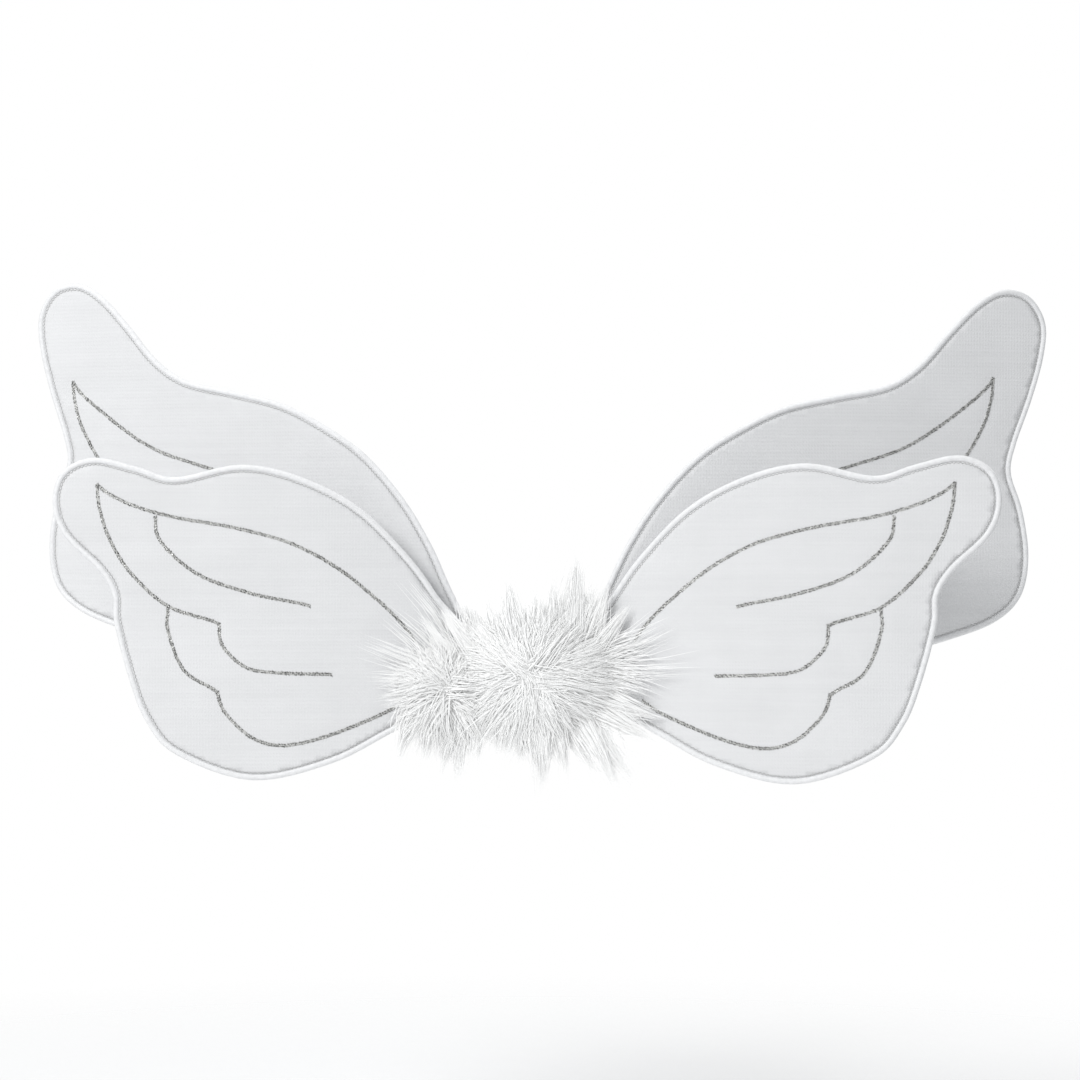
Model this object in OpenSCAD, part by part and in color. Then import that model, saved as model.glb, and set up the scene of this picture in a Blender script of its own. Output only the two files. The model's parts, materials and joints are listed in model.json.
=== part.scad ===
// Dress-up fairy wings for a small child: four wire-framed fabric wings in two
// pairs on a soft centre pad, with a fur tuft outside and elastic arm loops inside.
// Millimetres. +Z is up as worn, -Y is the outer side (fur), +Y is the wearer's
// side. The origin is the middle of the lining patch that rests on the back.

/* [Wings] */
// Swing of both front wings out of the back plane, towards the outer side
front_swing = 14; // [9:1:30]
// Swing of the rear left wing towards the wearer
rear_left_swing = 2; // [0:1:15]
// Swing of the rear right wing towards the wearer
rear_right_swing = 6; // [0:1:15]
// Lean of the rear left wing in its own plane, up positive
rear_left_lean = 1; // [-2:0.5:2]
// Lean of the rear right wing in its own plane, up positive
rear_right_lean = -0.5; // [-2:0.5:2]
// Radius of the gentle bow in every wing
bow_r = 900; // [700:50:2000]

/* [Wire and cloth] */
// Diameter of the frame wire
wire_d = 2.4; // [2:0.1:2.4]
// Outer diameter of the hem casing sewn round the wire
hem_d = 3.4; // [3.3:0.1:4]
// Thickness of one wing panel
panel_t = 0.4; // [0.3:0.1:0.5]
// Width of an embroidered line
line_w = 2.6; // [2:0.1:3.5]
// How proud the embroidered line stands
line_t = 0.5; // [0.3:0.1:0.8]

/* [Centre pad] */
// Distance between the left and right hinge legs
leg_gap = 68; // [66:1:74]
// Half height of the centre pad
pad_half_h = 26; // [26:1:32]
// How far the wings' roots sit above the middle of the pad
wing_rise = 5; // [0:1:5]
// Radius of the fur tuft's dense core
fur_r = 26; // [20:1:26]
// Height of the fur tuft's dense core
fur_h = 22; // [14:1:26]

/* [Arm loops] */
// Width of the elastic
elastic_w = 10; // [8:1:10]
// Thickness of the elastic
elastic_t = 1.2; // [0.8:0.1:1.6]
// Rest direction of each loop, turned from sideways towards the wearer
loop_turn = 50; // [40:1:80]

/* [Hidden] */

$fn = 48;

// Colours
wire_col = "silver";
cloth_col = [0.95, 0.95, 0.96];
hem_col = "white";
thread_col = [0.72, 0.73, 0.72];
plastic_col = [0.9, 0.9, 0.88];
foam_col = [0.86, 0.86, 0.84];
felt_col = [0.93, 0.93, 0.92];
fur_col = [0.97, 0.97, 0.95];

// Layers of the centre pad, from the wearer outwards along -Y
patch_t = 1.2;
felt_t = 1.2;
rear_leg_y = -9;
leg_reach = 2.8;
plate_t = 2.4;
backing_reach = 3.2;
plate_back_y = rear_leg_y - leg_reach;
plate_front_y = plate_back_y - plate_t;
front_leg_y = plate_front_y - leg_reach;
backing_back_y = front_leg_y - backing_reach;
backing_t = 1.2;
backing_front_y = backing_back_y - backing_t;

// Hinge legs of the wire loops
leg_x = leg_gap / 2;
leg_low_z = -12;
leg_high_z = 22;
leg_mid_z = (leg_low_z + leg_high_z) / 2;
clips_mid_z = leg_mid_z + wing_rise;
running_gap = 0.06;

// Clips, ferrules and rivets
clip_h = 8;
clip_pitch = 20;
clip_centres = [clips_mid_z - clip_pitch / 2, clips_mid_z + clip_pitch / 2];
flange_t = 1.6;
flange_w = 10;
flange_x = leg_x - flange_w;
rivet_inset = 7;
rivet_x = leg_x - rivet_inset;
rivet_r = 1.5;
rivet_bore_h = 30;
rivet_head_r = 2.8;
rivet_head_t = 1;
ferrule_r = 2.2;
ferrule_h = 11.2;
wire_end_gap = 0.4;

// Corners of the pad's layers, and how far each edge lies from the leg or from the pad's own edge
pad_corner = 8;
plate_rim = 3;
plate_inset = 2;
foam_corner = 4;
foam_half_w = 21;
wadding_corner = 6;
wadding_inset = 3;
felt_rim = 4;
patch_half_w = 19;
patch_corner = 6;
patch_inset = 4;
backing_inset = 2;

// Cloth layers of a wing, as distances from its middle surface
layer_gap = 0.15;
hem_wall_clear = 0.05;
panel_inset = 1.45;
panel_root = 8;

// Plan of the front wing's wire: outwards from its leg, and up
front_plan = [
    [0, 20], [5, 28], [15, 39], [31, 61], [59, 89], [91, 106], [124, 113], [160, 106],
    [182, 112], [205, 117], [221, 110], [226, 94], [220, 76], [201, 57], [193, 43], [192, 27],
    [184, -4], [175, -27], [159, -45], [118, -59], [75, -50], [43, -34], [22, -23], [6, -16], [0, -9]
];
// Plan of the rear wing's wire, whose tip lobe is drawn out and raised
rear_plan = [
    [0, 20], [3, 29], [12, 47], [23, 70], [39, 95], [61, 119], [85, 135], [110, 147],
    [140, 154], [168, 160], [187, 172], [205, 192], [221, 208], [236, 216], [251, 213], [260, 199],
    [259, 180], [252, 155], [243, 130], [240, 113], [247, 92], [251, 66], [247, 44], [233, 30],
    [207, 20], [160, 7], [100, -7], [50, -16], [18, -16], [4, -13], [0, -9]
];

// Embroidered feather lines on the front wing
front_lines = [
    [[203, 104], [188, 94], [163, 86], [125, 79], [92, 69], [60, 49], [28, 16]],
    [[203, 104], [201, 88], [195, 71], [184, 54], [164, 36], [136, 26]],
    [[171, 86], [168, 72], [148, 54], [118, 43], [86, 36]],
    [[136, 27], [134, 14], [121, 2], [103, -1], [74, -2]],
    [[164, 36], [164, 22], [155, 0], [137, -12]],
    [[137, -11], [132, -24], [116, -38], [96, -41], [65, -32], [33, -16]]
];
// Embroidered feather lines on the rear wing
rear_lines = [
    [[234, 165], [218, 149], [184, 126], [146, 113], [104, 99], [64, 73], [32, 38]],
    [[234, 165], [232, 150], [226, 134], [212, 113], [188, 92], [166, 84]],
    [[146, 113], [143, 100], [122, 88], [88, 78]],
    [[166, 85], [164, 74], [152, 64], [124, 60]],
    [[188, 93], [189, 76], [176, 56], [156, 48]],
    [[156, 49], [150, 37], [130, 27], [98, 25], [58, 28]]
];
// How far each rear wing's embroidery lies outwards of its drawn place
rear_left_shift = 2;
rear_right_shift = -2;

// One arm loop seen along its own width: outwards, and up
loop_plan = [
    [0, 16], [9, 25], [32, 36], [70, 38], [98, 27], [110, 6], [98, -13], [66, -20],
    [32, -22], [9, -20], [0, -14]
];
loop_axis_x = 26;
loop_axis_y = 2.4;
roll_r = 1.4;
roll_h = 10;
roll_z = 14;
neck_w = 4;
neck_s = 9;
band_lap = 2;

// Smooth curve through a list of points, with n steps between neighbours.
// Its first and last stretch leave and reach the ends upright.
function spline(a, b, c, d, t) =
    (2 * b + (c - a) * t + (2 * a - 5 * b + 4 * c - d) * t * t
    + (3 * b - a - 3 * c + d) * t * t * t) / 2;
function before(p) = [p[0].x, 2 * p[0].y - p[1].y];
function after(p) = [p[len(p) - 1].x, 2 * p[len(p) - 1].y - p[len(p) - 2].y];
function curve(p, n) = concat(
    [for (i = [0:len(p) - 2], k = [0:n - 1])
        spline(i == 0 ? before(p) : p[i - 1], p[i], p[i + 1],
            i == len(p) - 2 ? after(p) : p[i + 2], k / n)],
    [p[len(p) - 1]]);

// Leaning a plan about the foot of its leg
foot = [0, 5];
function lean(p, a) = [for (q = p) let (d = q - foot)
    q.x < 1 ? q : foot + [d.x * cos(a) - d.y * sin(a), d.x * sin(a) + d.y * cos(a)]];
function shifted(p, dx) = [for (q = p) q + [dx, 0]];

// Unit direction of a plane curve at point i, and the curve moved sideways by d
function dir2(p, i) = let (v = p[min(i + 1, len(p) - 1)] - p[max(i - 1, 0)]) v / norm(v);
function beside(p, d) = [for (i = [0:len(p) - 1]) let (t = dir2(p, i)) p[i] + d * [t.y, -t.x]];
function turned(p) = [for (i = [len(p) - 1:-1:0]) p[i]];
function ribbon(p, w) = concat(beside(p, w / 2), turned(beside(p, -w / 2)));

// The bowed middle surface of a wing, and its outward normal
function bow_y(u) = bow_r - sqrt(bow_r * bow_r - u * u);
function on_bow(p) = [p.x, bow_y(p.x), p.y];
function bow_normal(u) = [u, bow_y(u) - bow_r, 0] / bow_r;

// Rings of a round tube along a plan curve laid on the bowed surface
tube_sides = 8;
function ring(p, i, r) =
    let (v = on_bow(p[min(i + 1, len(p) - 1)]) - on_bow(p[max(i - 1, 0)]),
        n = bow_normal(p[i].x), s = cross(v / norm(v), n))
    [for (k = [0:tube_sides - 1]) let (a = 360 * k / tube_sides)
        on_bow(p[i]) + r * (cos(a) * n + sin(a) * s)];
function rings(p, r) = [for (i = [0:len(p) - 1]) each ring(p, i, r)];
function next(k) = (k + 1) % tube_sides;
function wall(m, from, out) = [for (i = [0:m - 2], k = [0:tube_sides - 1])
    let (a = from + i * tube_sides, b = a + tube_sides,
        f = [a + k, b + k, b + next(k), a + next(k)])
    out ? f : turned(f)];
function cap(from, out) = let (f = [for (k = [0:tube_sides - 1]) from + k]) out ? f : turned(f);
function rim(a, b, out) = [for (k = [0:tube_sides - 1])
    let (f = [a + k, a + next(k), b + next(k), b + k]) out ? f : turned(f)];

module rod(p, r) {
    m = len(p);
    polyhedron(rings(p, r), concat(wall(m, 0, true),
        [cap(0, true), cap((m - 1) * tube_sides, false)]));
}

module pipe(p, r_out, r_in) {
    m = len(p);
    count = m * tube_sides;
    last = count - tube_sides;
    polyhedron(concat(rings(p, r_out), rings(p, r_in)), concat(
        wall(m, 0, true), wall(m, count, false),
        rim(0, count, true), rim(last, count + last, false)));
}

// A plate with rounded corners standing in the XZ plane, its back face at y
module upright_plate(half_w, half_h, corner, t, y) {
    translate([0, y, 0]) rotate([90, 0, 0]) linear_extrude(t) {
        square([2 * (half_w - corner), 2 * half_h], center = true);
        square([2 * half_w, 2 * (half_h - corner)], center = true);
        for (sx = [-1, 1], sz = [-1, 1])
            translate([sx * (half_w - corner), sz * (half_h - corner)]) circle(corner);
    }
}

// Places a child at both sides of the middle plane
module both_sides() {
    children();
    mirror([1, 0, 0]) children();
}

// ---- Centre pad ----

module core_plate() {
    color(plastic_col) difference() {
        upright_plate(leg_x + plate_rim, pad_half_h - plate_inset, pad_corner, plate_t, plate_back_y);
        both_sides() for (z = clip_centres) translate([0, 0, z]) rivet_bore();
    }
}

module rivet_bore() {
    translate([rivet_x, 0, 0]) rotate([90, 0, 0])
        cylinder(r = rivet_r + running_gap, h = rivet_bore_h);
}

// A saddle clip: flange on the plate, web and barrel round the wire's leg.
// leg_y is the leg's place, and out is -1 in front of the plate, 1 behind it.
module saddle_clip(leg_y, plate_y, out) {
    low = clip_h / 2;
    difference() {
        union() {
            translate([flange_x, min(plate_y, plate_y + out * flange_t), -low])
                cube([leg_x - flange_x, flange_t, clip_h]);
            translate([leg_x - leg_reach, min(plate_y, leg_y), -low])
                cube([2 * leg_reach, leg_reach, clip_h]);
            translate([leg_x, leg_y, -low]) cylinder(r = leg_reach, h = clip_h);
        }
        translate([leg_x, leg_y, -clip_h]) cylinder(r = wire_d / 2 + running_gap, h = 2 * clip_h);
        rivet_bore();
    }
}

module front_clips() {
    color(plastic_col) both_sides() for (z = clip_centres)
        translate([0, 0, z]) saddle_clip(front_leg_y, plate_front_y, -1);
}

module rear_clips() {
    color(plastic_col) both_sides() for (z = clip_centres)
        translate([0, 0, z]) saddle_clip(rear_leg_y, plate_back_y, 1);
}

// One rivet holds a front clip, the plate and a rear clip together
module clip_rivets() {
    front_y = plate_front_y - flange_t;
    back_y = plate_back_y + flange_t;
    color(wire_col) both_sides() for (z = clip_centres)
        translate([rivet_x, back_y, z]) rotate([90, 0, 0]) {
            cylinder(r = rivet_r, h = back_y - front_y);
            translate([0, 0, -rivet_head_t]) cylinder(r = rivet_head_r, h = rivet_head_t);
            translate([0, 0, back_y - front_y]) cylinder(r = rivet_head_r, h = rivet_head_t);
        }
}

felt_back_y = -patch_t;
felt_front_y = felt_back_y - felt_t;

module back_foam() {
    color(foam_col) upright_plate(foam_half_w, pad_half_h - plate_inset, foam_corner,
        felt_front_y - plate_back_y, felt_front_y);
}

module front_wadding() {
    color(foam_col) upright_plate(foam_half_w, pad_half_h - wadding_inset, wadding_corner,
        plate_front_y - backing_back_y, plate_front_y);
}

module back_felt() {
    color(felt_col) upright_plate(leg_x + felt_rim, pad_half_h, pad_corner, felt_t, felt_back_y);
}

module lining_patch() {
    color(cloth_col) upright_plate(patch_half_w, pad_half_h - patch_inset, patch_corner, patch_t, 0);
}

module fur_backing() {
    color(cloth_col)
        upright_plate(leg_x - backing_inset, pad_half_h, pad_corner, backing_t, backing_back_y);
}

// Strips that close the pad's top and bottom, sides open for the wires
module pad_gussets() {
    half_w = leg_x - flange_w;
    color(felt_col) for (s = [-1, 1])
        translate([-half_w, backing_front_y, s > 0 ? pad_half_h : -pad_half_h - felt_t])
            cube([2 * half_w, felt_back_y - backing_front_y, felt_t]);
}

// The dense core of the fur tuft, a dome standing on its backing
module fur_pile() {
    steps = 12;
    dome = [for (i = [0:steps]) let (a = 90 * i / steps) [fur_r * cos(a), fur_h * sin(a)]];
    color(fur_col) translate([0, backing_front_y, 0]) rotate([90, 0, 0])
        rotate_extrude($fn = 96) polygon(concat([[0, 0]], dome));
}

// ---- Arm loops ----

tab_w = 10;
tab_h = 16;

module strap_tabs() {
    color(cloth_col) both_sides() for (z = [roll_z, -roll_z])
        translate([loop_axis_x - tab_w / 2, -patch_t, z - tab_h / 2])
            cube([tab_w, patch_t, tab_h]);
}

// Sewn keeper rings on the tabs, in which the rolled ends of the loops turn
keeper_h = 3;
keeper_z = 11.5;
keeper_foot = 1;

module tab_keepers() {
    r = loop_axis_y;
    color(cloth_col) both_sides() for (z = [keeper_z, -keeper_z])
        translate([loop_axis_x, 0, z - keeper_h / 2]) difference() {
            union() {
                translate([0, loop_axis_y, 0]) cylinder(r = r, h = keeper_h);
                translate([-r, 0, 0]) cube([2 * r, keeper_foot, keeper_h]);
            }
            translate([0, loop_axis_y, -1]) cylinder(r = roll_r + running_gap, h = keeper_h + 2);
        }
}

// A band of the loop, w wide, along those of its points that pass the test
module band(points, w) {
    rotate([90, 0, 0]) linear_extrude(w, center = true) polygon(ribbon(points, elastic_t));
}

module arm_loop() {
    path = curve(loop_plan, 5);
    upper = [for (q = path) if (q.x < neck_s + band_lap && q.y > 0) q];
    lower = [for (q = path) if (q.x < neck_s + band_lap && q.y < 0) q];
    wide = [for (q = path) if (q.x > neck_s - band_lap / 2) q];
    translate([loop_axis_x, loop_axis_y, 0]) {
        rotate(loop_turn) {
            band(upper, neck_w);
            band(lower, neck_w);
            band(wide, elastic_w);
        }
        for (z = [roll_z, -roll_z]) translate([0, 0, z - roll_h / 2]) cylinder(r = roll_r, h = roll_h);
    }
}

module right_strap() {
    color("white") arm_loop();
}

module left_strap() {
    color("white") mirror([1, 0, 0]) arm_loop();
}

// ---- Wings ----

plan_steps = 3;
line_steps = 4;
facet_slack = 0.03;
bow_sides = 720;
layer_low_z = -150;
layer_h = 450;
bow_depth = 60;
through_h = 80;

// Puts a wing drawn outwards along +X at its leg, side 1 for right, -1 for left
module hang(side, leg_y, swing) {
    mirror([side < 0 ? 1 : 0, 0, 0])
        translate([leg_x, leg_y, wing_rise]) rotate(-swing) children();
}

module wire(plan) {
    r = wire_d / 2;
    rod(curve(plan, plan_steps), r - facet_slack);
    end_z = leg_mid_z + wire_end_gap / 2;
    translate([0, 0, leg_low_z]) cylinder(r = r, h = end_z - wire_end_gap - leg_low_z);
    translate([0, 0, end_z]) cylinder(r = r, h = leg_high_z - end_z);
}

// The wire's two ends butt inside this crimped sleeve, between the two clips
module ferrule() {
    translate([0, 0, leg_mid_z - ferrule_h / 2]) difference() {
        cylinder(r = ferrule_r, h = ferrule_h);
        translate([0, 0, -1]) cylinder(r = wire_d / 2, h = ferrule_h + 2);
    }
}

// The hem runs along the loop, clear of the leg and its clips
hem_clear = 3;
module hem(plan) {
    path = curve(plan, plan_steps);
    pipe([for (q = path) if (q.x > hem_clear) q], hem_d / 2, wire_d / 2 + hem_wall_clear);
}

// A layer of the bowed surface, between two distances outwards from its middle
module layer(near, far) {
    translate([0, bow_r, layer_low_z]) difference() {
        cylinder(r = bow_r + far, h = layer_h, $fn = bow_sides);
        translate([0, 0, -1]) cylinder(r = bow_r + near, h = layer_h + 2, $fn = bow_sides);
    }
}

// Extrudes a plan drawing through the wing, deep enough for its whole bow
module through_wing() {
    translate([0, bow_depth, 0]) rotate([90, 0, 0]) linear_extrude(through_h) children();
}

module panel(plan, near, far) {
    edge = beside(curve(plan, plan_steps), panel_inset);
    intersection() {
        through_wing() polygon([for (q = edge) if (q.x > panel_root) q]);
        layer(near, far);
    }
}

module embroidery(lines) {
    proud = layer_gap + panel_t;
    intersection() {
        through_wing() for (p = lines) polygon(ribbon(curve(p, line_steps), line_w));
        layer(proud, proud + line_t);
    }
}

outer_panel_near = layer_gap;
inner_panel_near = -layer_gap - panel_t;
left_rear_plan = lean(rear_plan, rear_left_lean);
right_rear_plan = lean(rear_plan, rear_right_lean);
left_rear_lines = [for (p = rear_lines) shifted(p, rear_left_shift)];
right_rear_lines = [for (p = rear_lines) shifted(p, rear_right_shift)];

module front_left() hang(-1, front_leg_y, front_swing) children();
module front_right() hang(1, front_leg_y, front_swing) children();
module rear_left() hang(-1, rear_leg_y, -rear_left_swing) children();
module rear_right() hang(1, rear_leg_y, -rear_right_swing) children();

module wing_panel(plan, near) color(cloth_col) panel(plan, near, near + panel_t);

module front_left_wire() color(wire_col) front_left() wire(front_plan);
module front_left_ferrule() color(wire_col) front_left() ferrule();
module front_left_hem() color(hem_col) front_left() hem(front_plan);
module front_left_outer_panel() front_left() wing_panel(front_plan, outer_panel_near);
module front_left_inner_panel() front_left() wing_panel(front_plan, inner_panel_near);
module front_left_embroidery() color(thread_col) front_left() embroidery(front_lines);

module front_right_wire() color(wire_col) front_right() wire(front_plan);
module front_right_ferrule() color(wire_col) front_right() ferrule();
module front_right_hem() color(hem_col) front_right() hem(front_plan);
module front_right_outer_panel() front_right() wing_panel(front_plan, outer_panel_near);
module front_right_inner_panel() front_right() wing_panel(front_plan, inner_panel_near);
module front_right_embroidery() color(thread_col) front_right() embroidery(front_lines);

module rear_left_wire() color(wire_col) rear_left() wire(left_rear_plan);
module rear_left_ferrule() color(wire_col) rear_left() ferrule();
module rear_left_hem() color(hem_col) rear_left() hem(left_rear_plan);
module rear_left_outer_panel() rear_left() wing_panel(left_rear_plan, outer_panel_near);
module rear_left_inner_panel() rear_left() wing_panel(left_rear_plan, inner_panel_near);
module rear_left_embroidery() color(thread_col) rear_left() embroidery(left_rear_lines);

module rear_right_wire() color(wire_col) rear_right() wire(right_rear_plan);
module rear_right_ferrule() color(wire_col) rear_right() ferrule();
module rear_right_hem() color(hem_col) rear_right() hem(right_rear_plan);
module rear_right_outer_panel() rear_right() wing_panel(right_rear_plan, outer_panel_near);
module rear_right_inner_panel() rear_right() wing_panel(right_rear_plan, inner_panel_near);
module rear_right_embroidery() color(thread_col) rear_right() embroidery(right_rear_lines);

core_plate();
front_clips();
rear_clips();
clip_rivets();
back_foam();
front_wadding();
back_felt();
lining_patch();
pad_gussets();
fur_backing();
fur_pile();
strap_tabs();
tab_keepers();
left_strap();
right_strap();
front_left_wire();
front_left_ferrule();
front_left_hem();
front_left_outer_panel();
front_left_inner_panel();
front_left_embroidery();
front_right_wire();
front_right_ferrule();
front_right_hem();
front_right_outer_panel();
front_right_inner_panel();
front_right_embroidery();
rear_left_wire();
rear_left_ferrule();
rear_left_hem();
rear_left_outer_panel();
rear_left_inner_panel();
rear_left_embroidery();
rear_right_wire();
rear_right_ferrule();
rear_right_hem();
rear_right_outer_panel();
rear_right_inner_panel();
rear_right_embroidery();
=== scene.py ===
import json
import math
import random

import bmesh
import bpy
import numpy as np
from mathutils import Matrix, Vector, geometry, kdtree, noise


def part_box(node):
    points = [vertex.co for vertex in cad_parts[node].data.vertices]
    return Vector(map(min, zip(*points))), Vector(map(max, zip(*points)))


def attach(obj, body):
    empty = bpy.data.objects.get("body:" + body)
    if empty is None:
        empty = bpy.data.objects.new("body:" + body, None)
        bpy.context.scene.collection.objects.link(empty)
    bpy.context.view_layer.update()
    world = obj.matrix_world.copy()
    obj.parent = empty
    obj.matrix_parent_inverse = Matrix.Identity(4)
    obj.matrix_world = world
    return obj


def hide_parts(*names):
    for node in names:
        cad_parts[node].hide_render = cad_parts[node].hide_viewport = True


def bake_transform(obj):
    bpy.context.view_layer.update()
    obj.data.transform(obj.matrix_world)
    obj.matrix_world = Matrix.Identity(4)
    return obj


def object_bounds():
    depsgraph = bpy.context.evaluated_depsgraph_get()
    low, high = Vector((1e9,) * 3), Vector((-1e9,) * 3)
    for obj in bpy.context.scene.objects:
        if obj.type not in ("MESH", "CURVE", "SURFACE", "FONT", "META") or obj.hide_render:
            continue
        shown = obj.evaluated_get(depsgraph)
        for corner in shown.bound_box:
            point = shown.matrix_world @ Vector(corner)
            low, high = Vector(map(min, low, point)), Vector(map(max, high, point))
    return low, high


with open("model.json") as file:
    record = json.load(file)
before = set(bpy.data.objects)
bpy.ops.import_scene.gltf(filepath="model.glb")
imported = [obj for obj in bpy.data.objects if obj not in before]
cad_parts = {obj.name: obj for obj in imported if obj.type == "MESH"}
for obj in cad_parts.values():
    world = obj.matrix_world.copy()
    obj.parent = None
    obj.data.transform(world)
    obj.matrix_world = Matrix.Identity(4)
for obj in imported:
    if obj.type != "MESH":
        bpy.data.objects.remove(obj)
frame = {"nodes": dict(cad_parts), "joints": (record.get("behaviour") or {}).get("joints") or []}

CAD_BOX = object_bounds()
MM = 0.001
FRONT_LEG = next(j for j in frame["joints"] if j["child"] == "front_left_wing")["pos_m"]
WINGS_UP = FRONT_LEG[2]
BACKING_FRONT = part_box("fur_backing")[0].y / MM

# ---- Wings: driving values, as the CAD has them, in millimetres and degrees ----

BOW_R = 900
HEM_R = 1.7
HEM_CLEAR = 3
PANEL_ROOT = 4
PANEL_INSET = 1.3
SEAM_INSET = 2.25
CLOTH_T = 0.35
FOOT = (0, 5)
# Rows of the cloth's triangles, and how near its edge the grid may come, as shares of a side
ROW_STEP, EDGE_GAP = 0.866, 0.6
# The stitch line inside the hem: step, zigzag to each side, thread radius and lift
SEAM_STEP, SEAM_ZIGZAG, SEAM_THREAD_R, SEAM_LIFT = 1.1, 0.34, 0.2, 0.12
# Glitter: flake step, shares of flakes left out and dark, and the laid cord's section
FLAKE_STEP, FLAKES_SKIPPED, DARK_FLAKES = 0.62, 0.12, 0.6
GLITTER_BED = [(-1.0, -0.1), (1.0, -0.1), (0.75, 0.22), (-0.75, 0.22)]

FRONT_PLAN = [
    (0, 20), (5, 28), (15, 39), (31, 61), (59, 89), (91, 106), (124, 113), (160, 106),
    (182, 112), (205, 117), (221, 110), (226, 94), (220, 76), (201, 57), (193, 43), (192, 27),
    (184, -4), (175, -27), (159, -45), (118, -59), (75, -50), (43, -34), (22, -23), (6, -16), (0, -9),
]
REAR_PLAN = [
    (0, 20), (3, 29), (12, 47), (23, 70), (39, 95), (61, 119), (85, 135), (110, 147),
    (140, 154), (168, 160), (187, 172), (205, 192), (221, 208), (236, 216), (251, 213), (260, 199),
    (259, 180), (252, 155), (243, 130), (240, 113), (247, 92), (251, 66), (247, 44), (233, 30),
    (207, 20), (160, 7), (100, -7), (50, -16), (18, -16), (4, -13), (0, -9),
]
FRONT_LINES = [
    [(203, 104), (188, 94), (163, 86), (125, 79), (92, 69), (60, 49), (28, 16)],
    [(203, 104), (201, 88), (195, 71), (184, 54), (164, 36), (136, 26)],
    [(171, 86), (168, 72), (148, 54), (118, 43), (86, 36)],
    [(136, 27), (134, 14), (121, 2), (103, -1), (74, -2)],
    [(164, 36), (164, 22), (155, 0), (137, -12)],
    [(137, -11), (132, -24), (116, -38), (96, -41), (65, -32), (33, -16)],
]
REAR_LINES = [
    [(234, 165), (218, 149), (184, 126), (146, 113), (104, 99), (64, 73), (32, 38)],
    [(234, 165), (232, 150), (226, 134), (212, 113), (188, 92), (166, 84)],
    [(146, 113), (143, 100), (122, 88), (88, 78)],
    [(166, 85), (164, 74), (152, 64), (124, 60)],
    [(188, 93), (189, 76), (176, 56), (156, 48)],
    [(156, 49), (150, 37), (130, 27), (98, 25), (58, 28)],
]
# name, side, plan, embroidered lines, swing away from the wearer, lean, line shift
WINGS = [
    ("front_left", -1, FRONT_PLAN, FRONT_LINES, 14, 0, 0),
    ("front_right", 1, FRONT_PLAN, FRONT_LINES, 14, 0, 0),
    ("rear_left", -1, REAR_PLAN, REAR_LINES, -2, 1, 2),
    ("rear_right", 1, REAR_PLAN, REAR_LINES, -6, -0.5, -2),
]


# ---- Mesh helpers ----

def piece(name, points, faces, material, smooth=True):
    """A new mesh object from points in metres and a list of faces."""
    mesh = bpy.data.meshes.new(name)
    mesh.from_pydata([tuple(p) for p in points], [], [tuple(f) for f in faces])
    mesh.validate()
    mesh.polygons.foreach_set("use_smooth", [smooth] * len(mesh.polygons))
    mesh.materials.append(material)
    made = bpy.data.objects.new(name, mesh)
    bpy.context.scene.collection.objects.link(made)
    return made


def triangles(name, points, faces, material, smooth=True):
    """The same for a large mesh of triangles, held in numpy arrays."""
    mesh = bpy.data.meshes.new(name)
    mesh.vertices.add(len(points))
    mesh.vertices.foreach_set("co", np.asarray(points, np.float32).ravel())
    mesh.loops.add(3 * len(faces))
    mesh.loops.foreach_set("vertex_index", np.asarray(faces, np.int32).ravel())
    mesh.polygons.add(len(faces))
    mesh.polygons.foreach_set("loop_start", np.arange(0, 3 * len(faces), 3, dtype=np.int32))
    mesh.update(calc_edges=True)
    mesh.polygons.foreach_set("use_smooth", [smooth] * len(faces))
    mesh.materials.append(material)
    made = bpy.data.objects.new(name, mesh)
    bpy.context.scene.collection.objects.link(made)
    return made


def point_values(made, name, values):
    """A number at each point of a mesh, which its material reads."""
    layer = made.data.attributes.new(name, "FLOAT", "POINT")
    layer.data.foreach_set("value", np.asarray(values, np.float32))


def unit(v):
    return v / np.maximum(np.linalg.norm(v, axis=-1, keepdims=True), 1e-12)


def resample(path, step):
    """A polyline's points at equal steps along it, with its own two ends."""
    lengths = np.r_[0, np.cumsum(np.linalg.norm(np.diff(path, axis=0), axis=1))]
    count = max(2, int(round(lengths[-1] / step)) + 1)
    along = np.linspace(0, lengths[-1], count)
    return np.stack([np.interp(along, lengths, path[:, k]) for k in range(path.shape[1])], 1)


def sweep(path, across, up, outline):
    """Points and faces of a profile carried along a path, closed at both ends. outline gives
    each ring's profile as offsets in the directions across and up, in the path's unit."""
    count, sides = len(path), outline.shape[1]
    rings = (path[:, None, :] + outline[:, :, 0:1] * across[:, None, :]
             + outline[:, :, 1:2] * up[:, None, :])
    faces = []
    for i in range(count - 1):
        for k in range(sides):
            a, b = i * sides + k, i * sides + (k + 1) % sides
            faces.append((a, b, b + sides, a + sides))
    faces.append(tuple(range(sides - 1, -1, -1)))
    faces.append(tuple(range((count - 1) * sides, count * sides)))
    return rings.reshape(-1, 3), faces


def merge(parts):
    """Several (points, faces) as one."""
    points, faces, base = [], [], 0
    for more_points, more_faces in parts:
        points.append(np.asarray(more_points, float))
        faces += [tuple(base + i for i in f) for f in more_faces]
        base += len(more_points)
    return np.vstack(points), faces


# ---- Materials ----

def new_material(name, colour, roughness, **constants):
    """A node material. Constants are the shader's own inputs, by name."""
    material = bpy.data.materials.new(name)
    material.use_nodes = True
    shader = material.node_tree.nodes["Principled BSDF"]
    shader.inputs["Base Color"].default_value = (*colour, 1)
    shader.inputs["Roughness"].default_value = roughness
    for key, value in constants.items():
        shader.inputs[key.replace("_", " ")].default_value = value
    return material, material.node_tree, shader


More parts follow.
